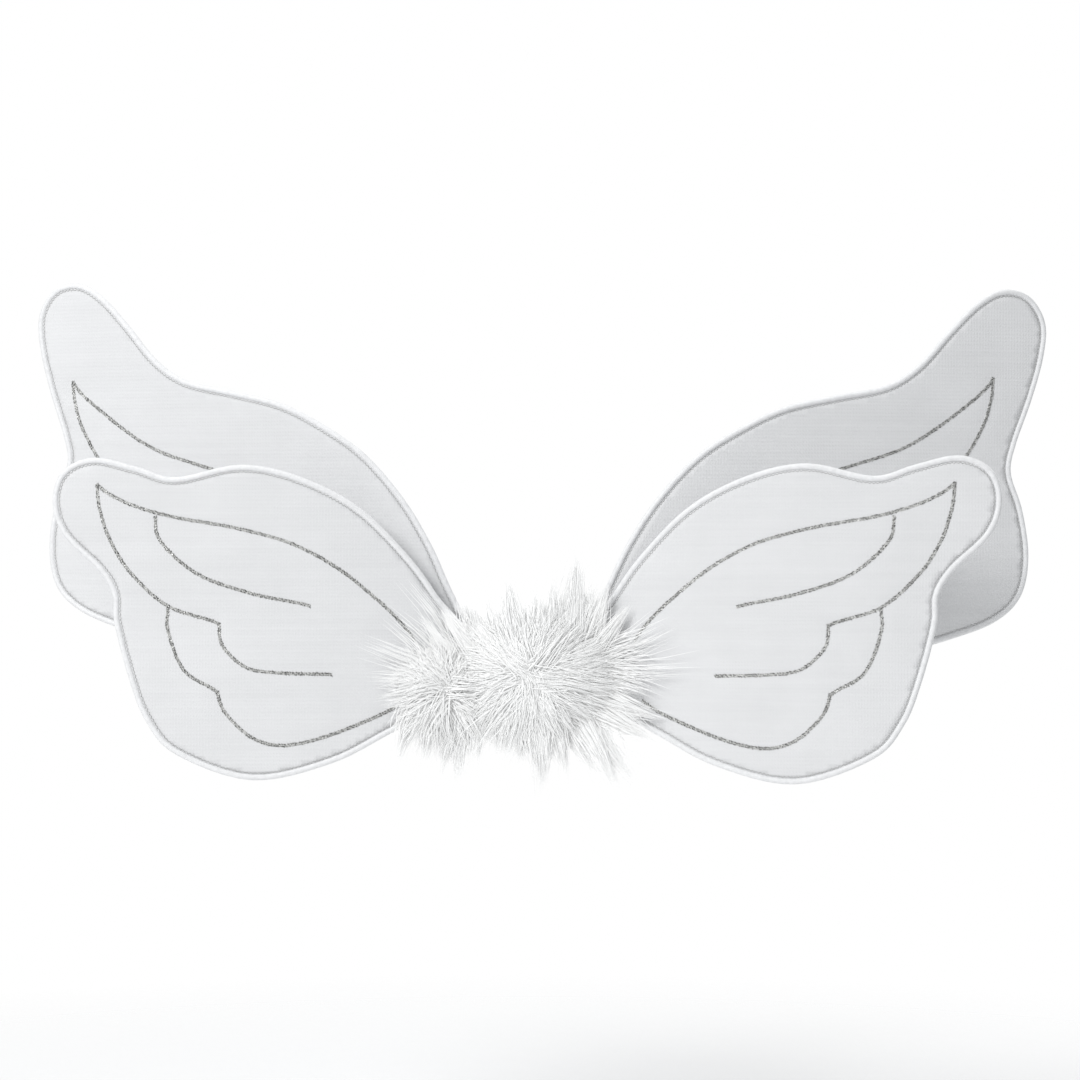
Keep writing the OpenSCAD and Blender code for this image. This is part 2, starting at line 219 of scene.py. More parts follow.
def add(tree, kind, **values):
    """A node. Values with a capital are its inputs, the others its settings."""
    node = tree.nodes.new("ShaderNode" + kind)
    for key, value in values.items():
        if key[0].isupper():
            node.inputs[key.replace("_", " ")].default_value = value
        else:
            setattr(node, key, value)
    return node


def coordinates(tree, scale=(1, 1, 1), turn=(0, 0, 0)):
    """Place in the frame, in metres, stretched and turned for a texture."""
    place = add(tree, "TexCoord")
    mapping = add(tree, "Mapping", Scale=scale, Rotation=turn)
    tree.links.new(place.outputs["Object"], mapping.inputs["Vector"])
    return mapping.outputs["Vector"]


def texture(tree, kind, vector, output, **values):
    node = add(tree, kind, **values)
    tree.links.new(vector, node.inputs["Vector"])
    return node.outputs[output]


def math_node(tree, operation, a, b):
    node = add(tree, "Math", operation=operation)
    for socket, value in zip(node.inputs, (a, b)):
        if isinstance(value, (int, float)):
            socket.default_value = value
        else:
            tree.links.new(value, socket)
    return node.outputs[0]


def ramp(tree, factor, low, high, from_at=0.0, to_at=1.0):
    """A colour from low to high as a value goes between two places."""
    node = add(tree, "ValToRGB")
    for element, place, colour in zip(node.color_ramp.elements, (from_at, to_at), (low, high)):
        element.position = place
        element.color = (*colour, 1)
    tree.links.new(factor, node.inputs["Fac"])
    return node.outputs["Color"]


def spread(tree, factor, low, high):
    """A number from low to high as a value goes from 0 to 1."""
    node = add(tree, "MapRange", To_Min=low, To_Max=high)
    tree.links.new(factor, node.inputs["Value"])
    return node.outputs["Result"]


def relief(tree, shader, layers):
    """Stacks bumps on a shader: each layer is (height, depth in metres, strength)."""
    below = None
    for height, depth, strength in layers:
        bump = add(tree, "Bump", Strength=strength, Distance=depth)
        tree.links.new(height, bump.inputs["Height"])
        if below is not None:
            tree.links.new(below, bump.inputs["Normal"])
        below = bump.outputs["Normal"]
    tree.links.new(below, shader.inputs["Normal"])


def crossed_threads(tree, per_metre, turn=(0, 0, 0)):
    """Height of a fine knit: two crossing rows of loops."""
    vector = coordinates(tree, turn=turn)
    rows = texture(tree, "TexWave", vector, "Fac", bands_direction="X", Scale=per_metre, Distortion=1.2,
                   Detail=1.0, Detail_Scale=2.0)
    courses = texture(tree, "TexWave", vector, "Fac", bands_direction="Z", Scale=per_metre * 0.8,
                      Distortion=1.2, Detail=1.0, Detail_Scale=2.0)
    return math_node(tree, "MULTIPLY", rows, courses)


def knit_material(name, light, shade, turn=0.0, mottle=0.5):
    """Fine stretch knit: loops, faint cross streaks and a slow mottle."""
    material, tree, shader = new_material(
        name, light, 0.9, Sheen_Weight=0.25, Sheen_Roughness=0.5, Specular_IOR_Level=0.25)
    loops = crossed_threads(tree, 190, (0, 0, turn))
    streaks = texture(tree, "TexNoise", coordinates(tree, (9, 9, 260), (0, 0, turn)), "Fac",
                      Scale=1.0, Detail=5.0, Roughness=0.65)
    slow = texture(tree, "TexNoise", coordinates(tree), "Fac", Scale=26.0, Detail=3.0, Roughness=0.55)
    both = math_node(tree, "ADD", math_node(tree, "MULTIPLY", streaks, 1 - mottle),
                     math_node(tree, "MULTIPLY", slow, mottle))
    tree.links.new(ramp(tree, both, shade, light, 0.3, 0.62), shader.inputs["Base Color"])
    tree.links.new(spread(tree, loops, 0.96, 0.8), shader.inputs["Roughness"])
    relief(tree, shader, [(streaks, 0.0003, 0.25), (loops, 0.0002, 0.5)])
    return material


def satin_material():
    """The hem's brighter, closer cloth, with fine gathers across it, painted darker in their hollows as
    shade.
    """
    material, tree, shader = new_material(
        "hem_satin", (0.95, 0.95, 0.95), 0.5, Sheen_Weight=0.4, Sheen_Roughness=0.35, Specular_IOR_Level=0.4)
    gathers = texture(tree, "TexNoise", coordinates(tree), "Fac", Scale=420.0, Detail=4.0, Roughness=0.6)
    threads = crossed_threads(tree, 420, (0.6, 0, 0.4))
    # Darker where the gathers sink: painted shade in their hollows.
    tree.links.new(ramp(tree, gathers, (0.8, 0.803, 0.81), (0.9, 0.903, 0.91), 0.3, 0.65),
                   shader.inputs["Base Color"])
    tree.links.new(spread(tree, threads, 0.62, 0.45), shader.inputs["Roughness"])
    relief(tree, shader, [(gathers, 0.0005, 0.35), (threads, 0.0001, 0.4)])
    return material


def seam_material(name, dark, light):
    """Twisted sewing thread, painted darker in the grooves of its twist as shade."""
    material, tree, shader = new_material(name, light, 0.7, Sheen_Weight=0.2)
    twist = texture(tree, "TexWave", coordinates(tree, turn=(0, 0.7, 0.5)), "Fac", Scale=700.0,
                    Distortion=2.0)
    # Darker in the twist's grooves, where the bump sinks: painted shade.
    tree.links.new(ramp(tree, twist, dark, light), shader.inputs["Base Color"])
    tree.links.new(spread(tree, twist, 0.8, 0.6), shader.inputs["Roughness"])
    relief(tree, shader, [(twist, 0.0001, 0.5)])
    return material


def glitter_material():
    """Silver glitter thread: dark and bright metal flakes from stitch to stitch."""
    material, tree, shader = new_material("glitter_thread", (0.3, 0.3, 0.3), 0.35, Metallic=0.6)
    tone = add(tree, "Attribute", attribute_name="tone").outputs["Fac"]
    specks = texture(tree, "TexVoronoi", coordinates(tree), "Distance", Scale=1500.0)
    grain = texture(tree, "TexNoise", coordinates(tree), "Fac", Scale=1800.0, Detail=2.0)
    mixed = math_node(tree, "ADD", math_node(tree, "MULTIPLY", tone, 0.75),
                      math_node(tree, "MULTIPLY", specks, 0.35))
    tree.links.new(ramp(tree, mixed, (0.05, 0.05, 0.047), (0.85, 0.85, 0.83), 0.1, 0.85),
                   shader.inputs["Base Color"])
    tree.links.new(spread(tree, grain, 0.22, 0.6), shader.inputs["Roughness"])
    relief(tree, shader, [(specks, 0.0003, 0.8)])
    return material


def metal_material(name, dark, light, roughness, scratch):
    """Drawn or pressed metal with fine scratches and dull patches."""
    material, tree, shader = new_material(name, light, roughness, Metallic=1.0)
    lines = texture(tree, "TexNoise", coordinates(tree, scratch), "Fac", Scale=1.0, Detail=5.0,
                    Roughness=0.7)
    dull = texture(tree, "TexNoise", coordinates(tree), "Fac", Scale=160.0, Detail=3.0)
    tree.links.new(ramp(tree, dull, dark, light, 0.3, 0.7), shader.inputs["Base Color"])
    tree.links.new(spread(tree, lines, roughness * 0.7, roughness * 1.4), shader.inputs["Roughness"])
    relief(tree, shader, [(lines, 0.0001, 0.25)])
    return material


def plastic_material():
    """Moulded white plastic: fine spark texture, faint flow marks and rubbed patches."""
    material, tree, shader = new_material("white_plastic", (0.8, 0.8, 0.78), 0.45, Specular_IOR_Level=0.5)
    spark = texture(tree, "TexNoise", coordinates(tree), "Fac", Scale=1400.0, Detail=3.0)
    flow = texture(tree, "TexNoise", coordinates(tree, (20, 20, 90)), "Fac", Scale=1.0, Detail=4.0)
    tree.links.new(ramp(tree, flow, (0.74, 0.74, 0.71), (0.84, 0.84, 0.82), 0.3, 0.7),
                   shader.inputs["Base Color"])
    tree.links.new(spread(tree, flow, 0.58, 0.36), shader.inputs["Roughness"])
    relief(tree, shader, [(spark, 0.0001, 0.3)])
    return material


def foam_material():
    """Open-cell foam: rounded cells of two sizes, darker in the pores as painted shade, and a little
    yellowed there.
    """
    material, tree, shader = new_material("foam", (0.85, 0.85, 0.8), 0.95, Specular_IOR_Level=0.15)
    cells = texture(tree, "TexVoronoi", coordinates(tree), "Distance", Scale=750.0)
    large = texture(tree, "TexVoronoi", coordinates(tree), "Distance", Scale=260.0)
    # Darker at the middle of each small cell, where the bump sinks the pore: painted shade, a little yellow.
    tree.links.new(ramp(tree, cells, (0.62, 0.61, 0.55), (0.88, 0.88, 0.84), 0.0, 0.5),
                   shader.inputs["Base Color"])
    tree.links.new(spread(tree, large, 1.0, 0.88), shader.inputs["Roughness"])
    relief(tree, shader, [(large, 0.0004, 0.4), (cells, 0.0003, 0.7)])
    return material


def felt_material(name, light, shade, fibre=(500, 500, 160)):
    """Pressed felt or wadding: tangled fibres, with pills and thin places."""
    material, tree, shader = new_material(name, light, 0.95, Sheen_Weight=0.35, Sheen_Roughness=0.6,
                                          Specular_IOR_Level=0.15)
    fibres = texture(tree, "TexNoise", coordinates(tree, fibre, (0.3, 0.2, 0.5)), "Fac", Scale=1.0,
                     Detail=6.0, Roughness=0.75, Distortion=1.5)
    pills = texture(tree, "TexVoronoi", coordinates(tree), "Distance", Scale=230.0)
    tree.links.new(ramp(tree, fibres, shade, light, 0.32, 0.62), shader.inputs["Base Color"])
    tree.links.new(spread(tree, pills, 0.88, 1.0), shader.inputs["Roughness"])
    relief(tree, shader, [(pills, 0.0003, 0.2), (fibres, 0.0004, 0.7)])
    return material


def elastic_material():
    """Woven elastic: crossed yarns over its ribs, darker in the grooves between yarns as painted shade, and
    in random worn patches.
    """
    material, tree, shader = new_material("elastic", (0.9, 0.9, 0.89), 0.75, Sheen_Weight=0.2)
    yarns = crossed_threads(tree, 330, (0, 0, 0.87))
    worn = texture(tree, "TexNoise", coordinates(tree), "Fac", Scale=120.0, Detail=4.0)
    # Darker where the yarns dip: painted shade in the grooves, times random worn patches.
    yarn_shade_and_wear = math_node(tree, "MULTIPLY", yarns, worn)
    tree.links.new(ramp(tree, yarn_shade_and_wear, (0.72, 0.72, 0.71), (0.93, 0.93, 0.92), 0.0, 0.5),
                   shader.inputs["Base Color"])
    tree.links.new(spread(tree, worn, 0.85, 0.65), shader.inputs["Roughness"])
    relief(tree, shader, [(yarns, 0.0003, 0.7)])
    return material


def fur_material():
    """Faux fur: strands differ a little at random, and are painted darker at the root, as shade among the
    strands, and pale at the tip.
    """
    # The faint white emission is painted light: the fur glows a little though it is no lamp.
    material, tree, shader = new_material("fur_strands", (0.9, 0.9, 0.89), 0.6, Specular_IOR_Level=0.3,
                                          Sheen_Weight=0.5, Sheen_Roughness=0.5,
                                          Emission_Strength=0.02)
    shader.inputs["Emission Color"].default_value = (1, 1, 0.99, 1)
    tone = add(tree, "Attribute", attribute_name="tone").outputs["Fac"]
    along = add(tree, "Attribute", attribute_name="along").outputs["Fac"]
    fine = texture(tree, "TexNoise", coordinates(tree), "Fac", Scale=900.0, Detail=2.0)
    # The share along each strand darkens it towards the root: painted shade; the tone is random.
    mixed = math_node(tree, "ADD", math_node(tree, "MULTIPLY", tone, 0.35),
                      math_node(tree, "MULTIPLY", along, 0.65))
    tree.links.new(ramp(tree, mixed, (0.92, 0.92, 0.915), (0.99, 0.99, 0.985), 0.0, 0.7),
                   shader.inputs["Base Color"])
    tree.links.new(spread(tree, fine, 0.5, 0.7), shader.inputs["Roughness"])
    return material


def floor_material():
    """A pale sheet that fades out far from the object."""
    material, tree, shader = new_material("floor", (0.93, 0.93, 0.93), 0.8, Specular_IOR_Level=0.2)
    grain = texture(tree, "TexNoise", coordinates(tree), "Fac", Scale=40.0, Detail=4.0)
    tree.links.new(ramp(tree, grain, (0.925, 0.925, 0.925), (0.94, 0.94, 0.94)), shader.inputs["Base Color"])
    away = texture(tree, "TexGradient", coordinates(tree, (1.1, 1.1, 1.1)), "Fac",
                   gradient_type="SPHERICAL")
    fade = add(tree, "MapRange", From_Min=0.0, From_Max=0.6)
    tree.links.new(away, fade.inputs["Value"])
    tree.links.new(fade.outputs["Result"], shader.inputs["Alpha"])
    return material


PANEL_CLOTH = knit_material("panel_knit", (0.79, 0.793, 0.8), (0.74, 0.743, 0.75))
BACKING_CLOTH = knit_material("backing_knit", (0.78, 0.78, 0.77), (0.68, 0.68, 0.67), mottle=0.3)
LINING = knit_material("lining_tricot", (0.8, 0.8, 0.8), (0.72, 0.72, 0.73), turn=0.785, mottle=0.2)
HEM_SATIN = satin_material()
SEAM_THREAD = seam_material("seam_thread", (0.4, 0.4, 0.395), (0.62, 0.62, 0.61))
WHITE_THREAD = seam_material("white_thread", (0.72, 0.72, 0.71), (0.92, 0.92, 0.91))
GLITTER = glitter_material()
STEEL_WIRE = metal_material("galvanised_wire", (0.42, 0.43, 0.45), (0.66, 0.67, 0.68), 0.38, (900, 900, 25))
CRIMP_METAL = metal_material("crimp_aluminium", (0.6, 0.6, 0.62), (0.8, 0.8, 0.81), 0.3, (60, 60, 1500))
RIVET_METAL = metal_material("rivet_steel", (0.5, 0.5, 0.5), (0.74, 0.73, 0.71), 0.28, (700, 60, 700))
PLASTIC = plastic_material()
FOAM = foam_material()
WADDING = felt_material("polyester_wadding", (0.93, 0.93, 0.92), (0.82, 0.82, 0.81), (260, 900, 90))
FELT = felt_material("pressed_felt", (0.88, 0.88, 0.86), (0.76, 0.76, 0.74))
ELASTIC = elastic_material()
FUR = fur_material()


# ---- Wings ----

def curve(points, steps):
    """The CAD's smooth curve through a plan's points, which is upright at both ends."""
    p = np.array(points, float)
    before = [p[0][0], 2 * p[0][1] - p[1][1]]
    after = [p[-1][0], 2 * p[-1][1] - p[-2][1]]
    q = np.vstack([before, p, after])
    t = (np.arange(steps) / steps)[:, None]
    made = [(2 * b + (c - a) * t + (2 * a - 5 * b + 4 * c - d) * t * t
             + (3 * b - a - 3 * c + d) * t ** 3) / 2 for a, b, c, d in zip(q, q[1:], q[2:], q[3:])]
    return np.vstack([*made, p[-1:]])


def beside(path, distance):
    """A plane path moved sideways, to its right."""
    along = unit(np.gradient(path, axis=0))
    return path + distance * np.stack([along[:, 1], -along[:, 0]], 1)


def nearest_tree(points):
    tree = kdtree.KDTree(len(points))
    for i, p in enumerate(points):
        tree.insert((p[0], p[1], 0), i)
    tree.balance()
    return tree


def distances(tree, points):
    return np.array([tree.find((p[0], p[1], 0))[2] for p in points])


class Wing:
    """One wing's plan, in millimetres outwards and up, and where its bowed surface lies."""

    def __init__(self, name, side, plan, lines, swing, lean, shift):
        self.name, self.side, self.swing = name, side, math.radians(swing)
        self.body = name + "_wing"
        joint = next(j for j in frame["joints"] if j["child"] == self.body)
        self.leg = joint["pos_m"]
        self.seed = 10.0 * (WINGS.index((name, side, plan, lines, swing, lean, shift)) + 1)
        self.plan = curve([self.leaned(p, math.radians(lean)) for p in plan], 6)
        self.lines = [curve(line, 8) + (shift, 0) for line in lines]
        self.seam = beside(self.plan, SEAM_INSET)
        self.edge_tree = nearest_tree(resample(self.seam, 0.7))
        self.line_tree = nearest_tree(np.vstack([resample(line, 0.7) for line in self.lines]))

    @staticmethod
    def leaned(p, angle):
        if p[0] < 1:
            return p
        dx, dy = p[0] - FOOT[0], p[1] - FOOT[1]
        return (FOOT[0] + dx * math.cos(angle) - dy * math.sin(angle),
                FOOT[1] + dx * math.sin(angle) + dy * math.cos(angle))

    def place(self, plan_points, outwards):
        """Frame points, in metres, of plan points at a distance outwards from the middle surface."""
        u, z = plan_points[:, 0], plan_points[:, 1]
        bow = BOW_R - np.sqrt(BOW_R ** 2 - u * u)
        x = u + outwards * u / BOW_R
        y = bow + outwards * (bow - BOW_R) / BOW_R
        c, s = math.cos(self.swing), math.sin(self.swing)
        return np.stack([self.side * (abs(self.leg[0]) + MM * (x * c + y * s)),
                         self.leg[1] + MM * (y * c - x * s), self.leg[2] + MM * z], 1)

    def height(self, plan_points, face):
        """How far the cloth's outside lies from the middle surface, in millimetres."""
        edge = distances(self.edge_tree, plan_points)
        wide = 1 - np.exp(-edge / 9)
        drape = np.array([
            noise.noise(Vector((p[0] / 46, p[1] / 30, self.seed + face)))
            + 0.45 * noise.noise(Vector((p[0] / 17, p[1] / 13, self.seed - face)))
            for p in plan_points])
        made = 0.5 + 0.6 * wide + 0.5 * drape * wide
        if face > 0:
            made -= 0.35 * np.exp(-(distances(self.line_tree, plan_points) / 2.4) ** 2) * wide
        return made


def filled(edge, tree, spacing):
    """Flat points and triangles that fill an outline, on a grid of rows."""
    low, high = edge.min(0), edge.max(0)
    grid = np.array([(u, z) for row, z in enumerate(np.arange(low[1], high[1], spacing * ROW_STEP))
                     for u in np.arange(low[0] + (row % 2) * spacing / 2, high[0], spacing)])
    grid = grid[distances(tree, grid) > spacing * EDGE_GAP]
    corners = [Vector(p) for p in np.vstack([edge, grid])]
    loop = [(i, (i + 1) % len(edge)) for i in range(len(edge))]
    flat, _, faces, *_ = geometry.delaunay_2d_cdt(corners, loop, [], 1, 1e-5)
    return np.array([(p.x, p.y) for p in flat]), faces


def shell(faces, count):
    """Faces of a closed layer: the far side, the near side turned over, and the rim's walls."""
    far = [tuple(i + count for i in f) for f in faces]
    near = [tuple(reversed(f)) for f in faces]
    return far + near + [(a, b, b + count, a + count) for a, b in boundary(faces)]


def panel(wing, face, spacing):
    """One cloth panel of a wing, stretched between its hems: face 1 outside, -1 inside."""
    edge = resample(beside(wing.plan, PANEL_INSET), spacing)
    edge = edge[edge[:, 0] > PANEL_ROOT]
    tree = nearest_tree(resample(np.vstack([edge, edge[:1]]), 0.7))
    flat, faces = filled(edge, tree, spacing)
    outside = wing.height(flat, face)
    near, far = wing.place(flat, face * (outside - CLOTH_T)), wing.place(flat, face * outside)
    made = piece(wing.name + ("_outer_cloth" if face > 0 else "_inner_cloth"),
                 np.vstack([near, far]), shell(faces, len(flat)), PANEL_CLOTH)
    face_outwards(made)
    area = polygon_area(edge) * MM * MM
    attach(made, wing.body)
    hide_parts(wing.name + ("_outer_panel" if face > 0 else "_inner_panel"))
    return made


def boundary(faces):
    """The edges that only one face has, in that face's direction."""
    seen = {(f[i], f[(i + 1) % len(f)]) for f in faces for i in range(len(f))}
    return [(a, b) for a, b in seen if (b, a) not in seen]


def polygon_area(p):
    x, y = p[:, 0], p[:, 1]
    return abs(np.dot(x, np.roll(y, -1)) - np.dot(y, np.roll(x, -1))) / 2


def face_outwards(made):
    """Turns every face of a closed mesh outwards."""
    shape = bmesh.new()
    shape.from_mesh(made.data)
    bmesh.ops.recalc_face_normals(shape, faces=shape.faces)
    shape.to_mesh(made.data)
    shape.free()


def frames(wing, path, outwards=0.0):
    """Centres on the bowed surface, and the directions across and out at each."""
    centre = wing.place(path, outwards)
    out = unit(wing.place(path, outwards + 1.0) - centre)
    along = unit(np.gradient(centre, axis=0))
    return centre, unit(np.cross(along, out)), out


def circle_profile(radii, sides):
    angle = np.arange(sides) * 2 * math.pi / sides
    return np.array(radii)[:, None, None] * np.stack([np.cos(angle), np.sin(angle)], 1)[None]


def hem(wing):
    """The casing sewn round the wire, faintly gathered, with drawn-in ends."""
    path = resample(wing.plan, 2.0)
    path = path[path[:, 0] > HEM_CLEAR]
    centre, across, out = frames(wing, path)
    gathers = [noise.noise(Vector((i * 0.9, wing.seed, 0))) for i in range(len(path))]
    radii = HEM_R * (1 + 0.05 * np.array(gathers))
    radii[[0, -1]] *= 0.78
    points, faces = sweep(centre, across, out, circle_profile(radii * MM, 10))
    made = piece(wing.name + "_hem_casing", points, faces, HEM_SATIN)
    face_outwards(made)
    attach(made, wing.body)
    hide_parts(wing.name + "_hem")
    return made


def seam(wing):
    """The grey zigzag stitch just inside the hem, on both faces."""
    parts = []
    for face in (1, -1):
        path = resample(wing.seam, SEAM_STEP)
        path = path[path[:, 0] > PANEL_ROOT + 1]
        sideways = np.where(np.arange(len(path)) % 2 == 0, SEAM_ZIGZAG, -SEAM_ZIGZAG)
        along = unit(np.gradient(path, axis=0))
        path = path + sideways[:, None] * np.stack([along[:, 1], -along[:, 0]], 1)
        outwards = face * (wing.height(path, face) + SEAM_LIFT)
        centre, across, out = frames(wing, path)
        centre = centre + (outwards * MM)[:, None] * out
        thread = circle_profile([SEAM_THREAD_R * MM] * len(path), 3)
        parts.append(sweep(centre, across, out, thread))
    made = piece(wing.name + "_hem_stitching", *merge(parts), SEAM_THREAD)
    face_outwards(made)
    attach(made, wing.body)
    return made


def embroidery(wing, draw):
    """Glitter lines: slanted flake stitches, dark and bright, across a laid grey cord."""
    points, faces, tones = [], [], []
    count = 0
    bed_outline = np.array(GLITTER_BED) * MM
    for line in wing.lines:
        path = resample(line, FLAKE_STEP)
        path = path[path[:, 0] > PANEL_ROOT + 2]
        heights = wing.height(path, 1)
        centre, across, out = frames(wing, path)
        along = np.cross(out, across)
        bed, bed_faces = sweep(centre + (heights * MM)[:, None] * out, across, out,
                               np.tile(bed_outline, (len(path), 1, 1)))
        points.append(bed)
        faces += [tuple(count + i for i in f) for f in bed_faces]
        tones += [0.5] * len(bed)
        count += len(bed)
        for i in range(len(path)):
            for row in (-1, 1):
                if draw.random() < FLAKES_SKIPPED:
                    continue
                slant = draw.uniform(0.7, 1.15)
                way = math.cos(slant) * along[i] + math.sin(slant) * across[i]
                side = np.cross(out[i], way)
                middle = (centre[i] + MM * (heights[i] + draw.uniform(0.2, 0.36)) * out[i]
                          + MM * (row * draw.uniform(0.3, 0.75)) * across[i]
                          + MM * draw.uniform(-0.2, 0.2) * along[i])
                half, wide, tall = draw.uniform(0.5, 0.85), draw.uniform(0.18, 0.3), draw.uniform(0.16, 0.3)
                ring = [middle + MM * wide * side, middle + MM * tall * out[i],
                        middle - MM * wide * side, middle - MM * tall * out[i]]
                points.append(np.array([middle + MM * half * way, middle - MM * half * way, *ring]))
                for k in range(4):
                    a, b = count + 2 + k, count + 2 + (k + 1) % 4
                    faces += [(count, a, b), (count + 1, b, a)]
                dark = draw.random() < DARK_FLAKES
                tones += [draw.uniform(0, 0.2) if dark else draw.uniform(0.5, 1)] * 6
                count += 6
    made = piece(wing.name + "_glitter_lines", np.vstack(points), faces, GLITTER, smooth=False)
    face_outwards(made)
    point_values(made, "tone", tones)
    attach(made, wing.body)
    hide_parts(wing.name + "_embroidery")
    return made


def wings():
    draw = random.Random(11)
    for values in WINGS:
        wing = Wing(*values)
        panel(wing, 1, 3.4)
        panel(wing, -1, 4.6)
        hem(wing)
        seam(wing)
        embroidery(wing, draw)


# ---- Fur, in millimetres across and up from the middle of the wings' roots ----

RISE = WINGS_UP / MM
STRAND_W, STRAND_H = 0.28, 0.1
STRAND_AT = np.array([0, 0.3, 0.62, 1.0])
GOLDEN_ANGLE = math.radians(137.5)
FUR_SPLIT = 30
# Dense pile under the long strands: centre, radius and height
CORES = [((0, -5), 25, 16), ((-43, -6), 14, 10)]
# Whorls: centre, locks, strands in each, root radius, and how far the locks reach to the
# right, up, left and down
WHORLS = [
    ((4, -2), 230, 40, 22, (56, 40, 50, 50)),
    ((-43, -9), 92, 32, 12, (36, 30, 38, 44)),
]
# Long tufts: foot and tip, then width and number of strands
TUFTS = [
    ((-2, 14), (-9, 51), 11, 170), ((24, 16), (30, 65), 11, 210), ((15, 16), (17, 53), 7, 90),
    ((8, 16), (7, 46), 7, 80), ((-14, 14), (-22, 43), 4, 35), ((-10, 14), (-16, 36), 7, 70),
    ((-18, 12), (-27, 34), 6, 60), ((34, 12), (47, 50), 10, 110), ((30, 14), (40, 48), 10, 110),
    ((4, 14), (2, 38), 9, 100), ((12, 14), (12, 41), 9, 100), ((20, 16), (22, 44), 9, 110),
    ((28, 14), (34, 42), 10, 110), ((-18, 8), (-34, 29), 10, 140), ((-20, 6), (-46, 36), 10, 120),
    ((-24, 2), (-58, 32), 10, 90), ((-12, 10), (-26, 26), 9, 110), ((-24, 8), (-39, 30), 9, 120),
    ((-22, 10), (-37, 42), 9, 100), ((-20, 12), (-31, 38), 9, 100),
    ((38, 10), (60, 38), 9, 90), ((40, 4), (66, 6), 10, 120), ((40, -4), (74, -8), 10, 130),
    ((38, 8), (68, 20), 9, 90), ((38, -12), (78, -26), 11, 130), ((36, -16), (74, -38), 12, 140),
    ((30, -20), (61, -60), 13, 200), ((26, -20), (53, -65), 11, 170), ((22, -20), (40, -56), 11, 130),
    ((6, -20), (10, -65), 10, 190), ((16, -20), (24, -58), 10, 130), ((-4, -20), (-2, -50), 10, 120),
    ((-12, -20), (-14, -46), 10, 110), ((-22, -18), (-27, -51), 10, 120), ((-30, -18), (-37, -61), 11, 170),
    ((-38, -18), (-46, -58), 10, 150), ((-44, -16), (-56, -51), 10, 130), ((-48, -14), (-71, -50), 12, 170),
    ((-46, 0), (-88, 16), 10, 60), ((-46, 4), (-76, 34), 8, 45), ((-40, 10), (-66, 52), 6, 40),
    ((-48, -8), (-84, -2), 9, 55), ((-48, -12), (-80, -16), 9, 60), ((44, 10), (86, 24), 8, 45),
    ((44, 2), (92, 2), 8, 40), ((-1, -8), (8, 16), 7, 50), ((10, -6), (-10, 6), 7, 50),
    ((4, 4), (16, -14), 7, 50), ((-38, -12), (-48, 4), 6, 40), ((-48, -8), (-34, -16), 6, 40),
]


def skin_depth(x):
    """Depth of the outermost cloth at a place across: the pad's backing, then the front wings."""
    leg_x, leg_y = abs(FRONT_LEG[0]) / MM, FRONT_LEG[1] / MM
    u = max(0.0, abs(x) - leg_x) * 1.03
    wing = leg_y - u * math.sin(math.radians(WINGS[0][4])) + u * u / (2 * BOW_R) - HEM_R
    return BACKING_FRONT if abs(x) < leg_x - 4 else wing


def core_height(x, z):
    """Height of the dense pile over the cloth."""
    tops = [high * math.sqrt(max(0, 1 - ((x - cx) ** 2 + (z - cz) ** 2) / r ** 2))
            for (cx, cz), r, high in CORES]
    return max(tops)


def core_mesh(centre, radius, high):
    """A lumpy dome on the cloth, as points and triangles."""
    turns, steps = 60, 14
    points = []
    for i in range(steps + 1):
        lift = math.pi / 2 * (1 - i / steps)
        for k in range(turns if i else 1):
            a = 2 * math.pi * k / turns
            x = centre[0] + radius * math.cos(lift) * math.cos(a)
            z = centre[1] + radius * math.cos(lift) * math.sin(a)
            lump = 0.8 * noise.noise(Vector((x / 4, z / 4, 3))) + 0.4 * noise.noise(Vector((x, z, 8)))
            points.append((x, skin_depth(x) - (high + lump) * math.sin(lift) - 0.05, z))
    points.append((centre[0], skin_depth(centre[0]) - 0.05, centre[1]))
    foot = len(points) - 1
    faces = [(0, 1 + k, 1 + (k + 1) % turns) for k in range(turns)]
    for i in range(steps - 1):
        for k in range(turns):
            a, b = 1 + i * turns + k, 1 + i * turns + (k + 1) % turns
            faces += [(a, b + turns, b), (a, a + turns, b + turns)]
    edge = 1 + (steps - 1) * turns
    faces += [(edge + k, foot, edge + (k + 1) % turns) for k in range(turns)]
    return np.array(points), np.array(faces)


def lock(foot, tip, lift, width, count, gather, draw):
    """Strands of one lock: they fan out from its foot, bow outwards and close up towards its
    tip, to the share gather of the lock's width."""
    reach = np.linalg.norm(tip - foot)
    whirl = draw.normal() * 0.1 * reach
    aside = np.array([foot[2] - tip[2], 0, tip[0] - foot[0]]) / max(reach, 1)
    scatter = draw.normal(size=(count, 3)) * width * 0.42
    scatter[:, 1] *= 0.12
    root = foot + scatter
    share = 1 - 0.5 * draw.beta(1, 2.6, size=(count, 1))
    wild = np.where(draw.random((count, 1)) < 0.06, 3.0, 1.0)
    end = foot + (tip - foot) * share + scatter * gather * wild + draw.normal(size=(count, 3)) * 0.6 * wild
    over = root + (end - root) * 0.38 + (whirl + 1.3 * draw.normal(size=(count, 1))) * aside
    over[:, 1] -= lift * draw.uniform(0.8, 1.15, count)
    t = STRAND_AT[None, :, None]
    path = root[:, None] * (1 - t) ** 2 + 2 * over[:, None] * t * (1 - t) + end[:, None] * t ** 2
    return path, draw.random() * 0.6 + 0.4 * draw.random(count)


